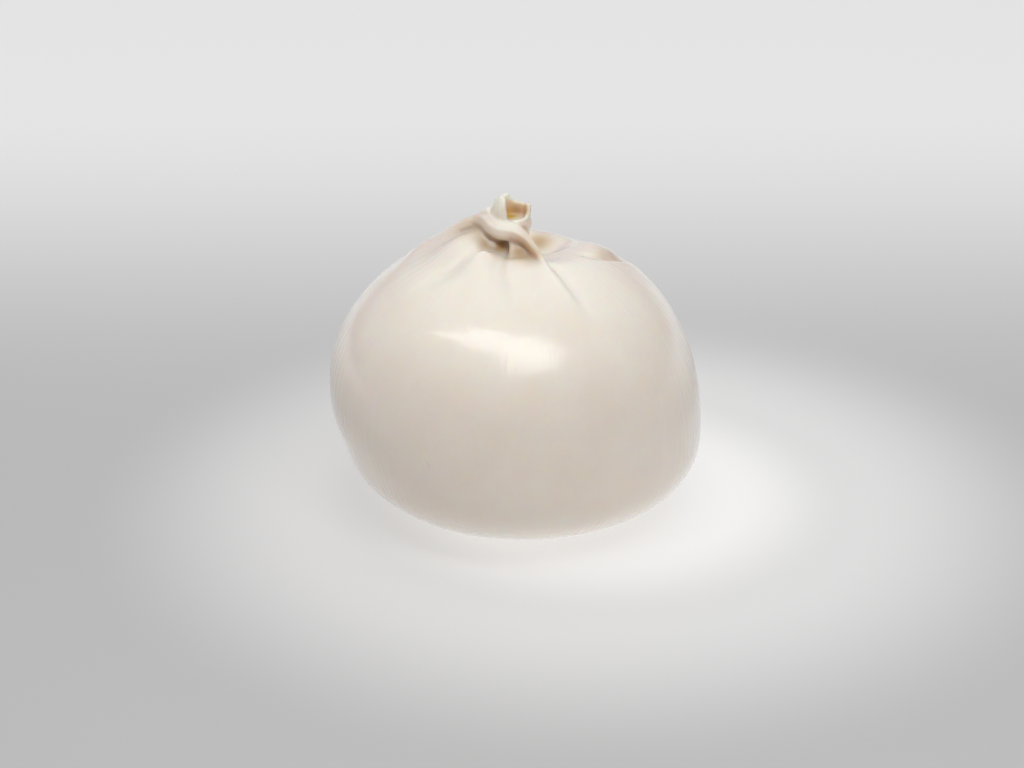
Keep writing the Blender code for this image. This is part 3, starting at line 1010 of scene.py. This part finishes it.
def glow_ramp(source, start, end, stops):
    """Strength of the glow as a source runs from start to end."""
    reach = white_nodes.new("ShaderNodeMapRange")
    reach.inputs["From Min"].default_value = start
    reach.inputs["From Max"].default_value = end
    ramp = white_nodes.new("ShaderNodeValToRGB")
    ramp.color_ramp.interpolation = "EASE"
    ramp.color_ramp.elements.remove(ramp.color_ramp.elements[1])
    for index, (place, level) in enumerate(stops):
        stop = ramp.color_ramp.elements[0] if index == 0 else ramp.color_ramp.elements.new(place)
        stop.position = place
        stop.color = (level, level, level, 1.0)
    white_links.new(source, reach.inputs["Value"])
    white_links.new(reach.outputs["Result"], ramp.inputs["Fac"])
    return ramp.outputs["Color"]


away = white_nodes.new("ShaderNodeVectorMath")
away.operation = "DISTANCE"
away.inputs[1].default_value = GLOW_MIDDLE
white_links.new(spot.outputs["Object"], away.inputs[0])
parts = white_nodes.new("ShaderNodeSeparateXYZ")
white_links.new(spot.outputs["Object"], parts.inputs[0])
glow = white_nodes.new("ShaderNodeMath")
glow.operation = "SMOOTH_MAX"
glow.inputs[2].default_value = GLOW_BLEND
near_glow = glow_ramp(away.outputs["Value"], NEAR_FROM, NEAR_TO, NEAR_GLOW)
back_glow = glow_ramp(parts.outputs["Y"], BACK_FROM, BACK_TO, BACK_GLOW)
white_links.new(near_glow, glow.inputs[0])
white_links.new(back_glow, glow.inputs[1])
white_links.new(glow.outputs[0], surface.inputs["Emission Strength"])
print("glow stops:", len(NEAR_GLOW) + len(BACK_GLOW))

# %% [markdown]
# ## Soft lights
# A wet skin mirrors its lamps, so the shape of the lamps is the shape of the
# highlight. Five rectangles lie in one ceiling, turned a little and set side
# by side, and their reflections join into one long highlight that is widest on
# the right and narrows to a tip on the left.

# %% The soft lights
# name, x and y of the middle, width, length, turn and power
CEILING_Z = 0.55
SOFT_LIGHTS = (
    ("main_light", 0.145, -0.315, 0.33, 0.19, -18.0, 0.55),
    ("near_light", 0.13, -0.41, 0.36, 0.24, 29.0, 0.66),
    ("left_light", -0.10, -0.25, 0.30, 0.13, -38.0, 0.36),
    ("strip_light", -0.17, -0.15, 0.30, 0.05, -6.0, 0.16),
    ("tip_light", -0.36, -0.085, 0.16, 0.02, -15.0, 0.035),
)
for name, x, y, width, length, turn, power in SOFT_LIGHTS:
    lamp = bpy.data.lights.new(name, "AREA")
    lamp.shape = "RECTANGLE"
    lamp.size, lamp.size_y = width, length
    lamp.energy = power
    light = bpy.data.objects.new(name, lamp)
    light.location = (x, y, CEILING_Z)
    light.rotation_euler = (0.0, 0.0, math.radians(turn))
    light.visible_camera = False
    bpy.context.scene.collection.objects.link(light)
print("soft lights:", len(SOFT_LIGHTS))

# %% [markdown]
# ## The surroundings
# The world is bright and a little cool overhead, and dimmer and warmer towards
# the horizon, most of all in front. That gives the cheese its warm, slightly
# darker belly and keeps the sides from going flat. Two colour ramps over the
# height are mixed from front to back.

# %% The surroundings
# sine of the height above the horizon, and colour
FRONT_COLOURS = (
    (0.0, (0.07, 0.03, 0.04)),
    (0.165, (0.14, 0.07, 0.09)),
    (0.42, (0.33, 0.27, 0.3)),
    (0.71, (0.58, 0.6, 0.64)),
    (0.9, (0.84, 0.92, 0.93)),
    (1.0, (0.93, 1.0, 1.0)),
)
BACK_COLOURS = (
    (0.0, (0.45, 0.34, 0.36)),
    (0.165, (0.5, 0.39, 0.41)),
    (0.42, (0.6, 0.58, 0.6)),
    (0.71, (0.82, 0.86, 0.88)),
    (0.9, (0.93, 1.0, 1.0)),
    (1.0, (0.93, 1.0, 1.0)),
)
BACK_PER_Y = 0.6
BACK_AT_SIDE = 0.45
world = bpy.data.worlds.new("studio")
bpy.context.scene.world = world
world.use_nodes = True
sky = world.node_tree
up = sky.nodes.new("ShaderNodeTexCoord")
apart = sky.nodes.new("ShaderNodeSeparateXYZ")
sky.links.new(up.outputs["Generated"], apart.inputs[0])


def height_ramp(stops):
    """Colours of the surroundings by the sine of the height above the table."""
    shade = sky.nodes.new("ShaderNodeValToRGB")
    shade.color_ramp.elements.remove(shade.color_ramp.elements[1])
    for index, (place, colour) in enumerate(stops):
        stop = shade.color_ramp.elements[0] if index == 0 else shade.color_ramp.elements.new(place)
        stop.position = place
        stop.color = (*colour, 1.0)
    sky.links.new(apart.outputs["Z"], shade.inputs["Fac"])
    return shade


in_front = height_ramp(FRONT_COLOURS)
behind = height_ramp(BACK_COLOURS)
share_behind = sky.nodes.new("ShaderNodeMath")
share_behind.operation = "MULTIPLY_ADD"
share_behind.use_clamp = True
share_behind.inputs[1].default_value = BACK_PER_Y
share_behind.inputs[2].default_value = BACK_AT_SIDE
around = sky.nodes.new("ShaderNodeMix")
around.data_type = "RGBA"
sky.links.new(apart.outputs["Y"], share_behind.inputs[0])
sky.links.new(share_behind.outputs[0], around.inputs["Factor"])
sky.links.new(in_front.outputs["Color"], around.inputs["A"])
sky.links.new(behind.outputs["Color"], around.inputs["B"])
sky.links.new(around.outputs["Result"], sky.nodes["Background"].inputs["Color"])
print("colours of the surroundings:", len(FRONT_COLOURS) + len(BACK_COLOURS))

# %% [markdown]
# ## The camera
# A portrait lens, about half a metre away and looking down a little: high
# enough to see the knot's folds, low enough to see the pouch's full belly.

# %% Set the camera
CAMERA_TILT = 24.0
CAMERA_LENS = 85.0
CAMERA_SENSOR = 36.0
CAMERA_PLACE = Vector((-0.68, -491.4, 247.4))
camera_data = bpy.data.cameras.new("camera")
camera_data.lens = CAMERA_LENS
camera_data.sensor_width = CAMERA_SENSOR
camera = bpy.data.objects.new("camera", camera_data)
camera.location = centre + (CAMERA_PLACE - Vector(middle)) * MM
camera.rotation_euler = (math.radians(90.0 - CAMERA_TILT), 0.0, 0.0)
bpy.context.scene.collection.objects.link(camera)
bpy.context.scene.camera = camera
bpy.context.scene.view_settings.view_transform = "Standard"
print("camera at", [round(value, 3) for value in camera.location])
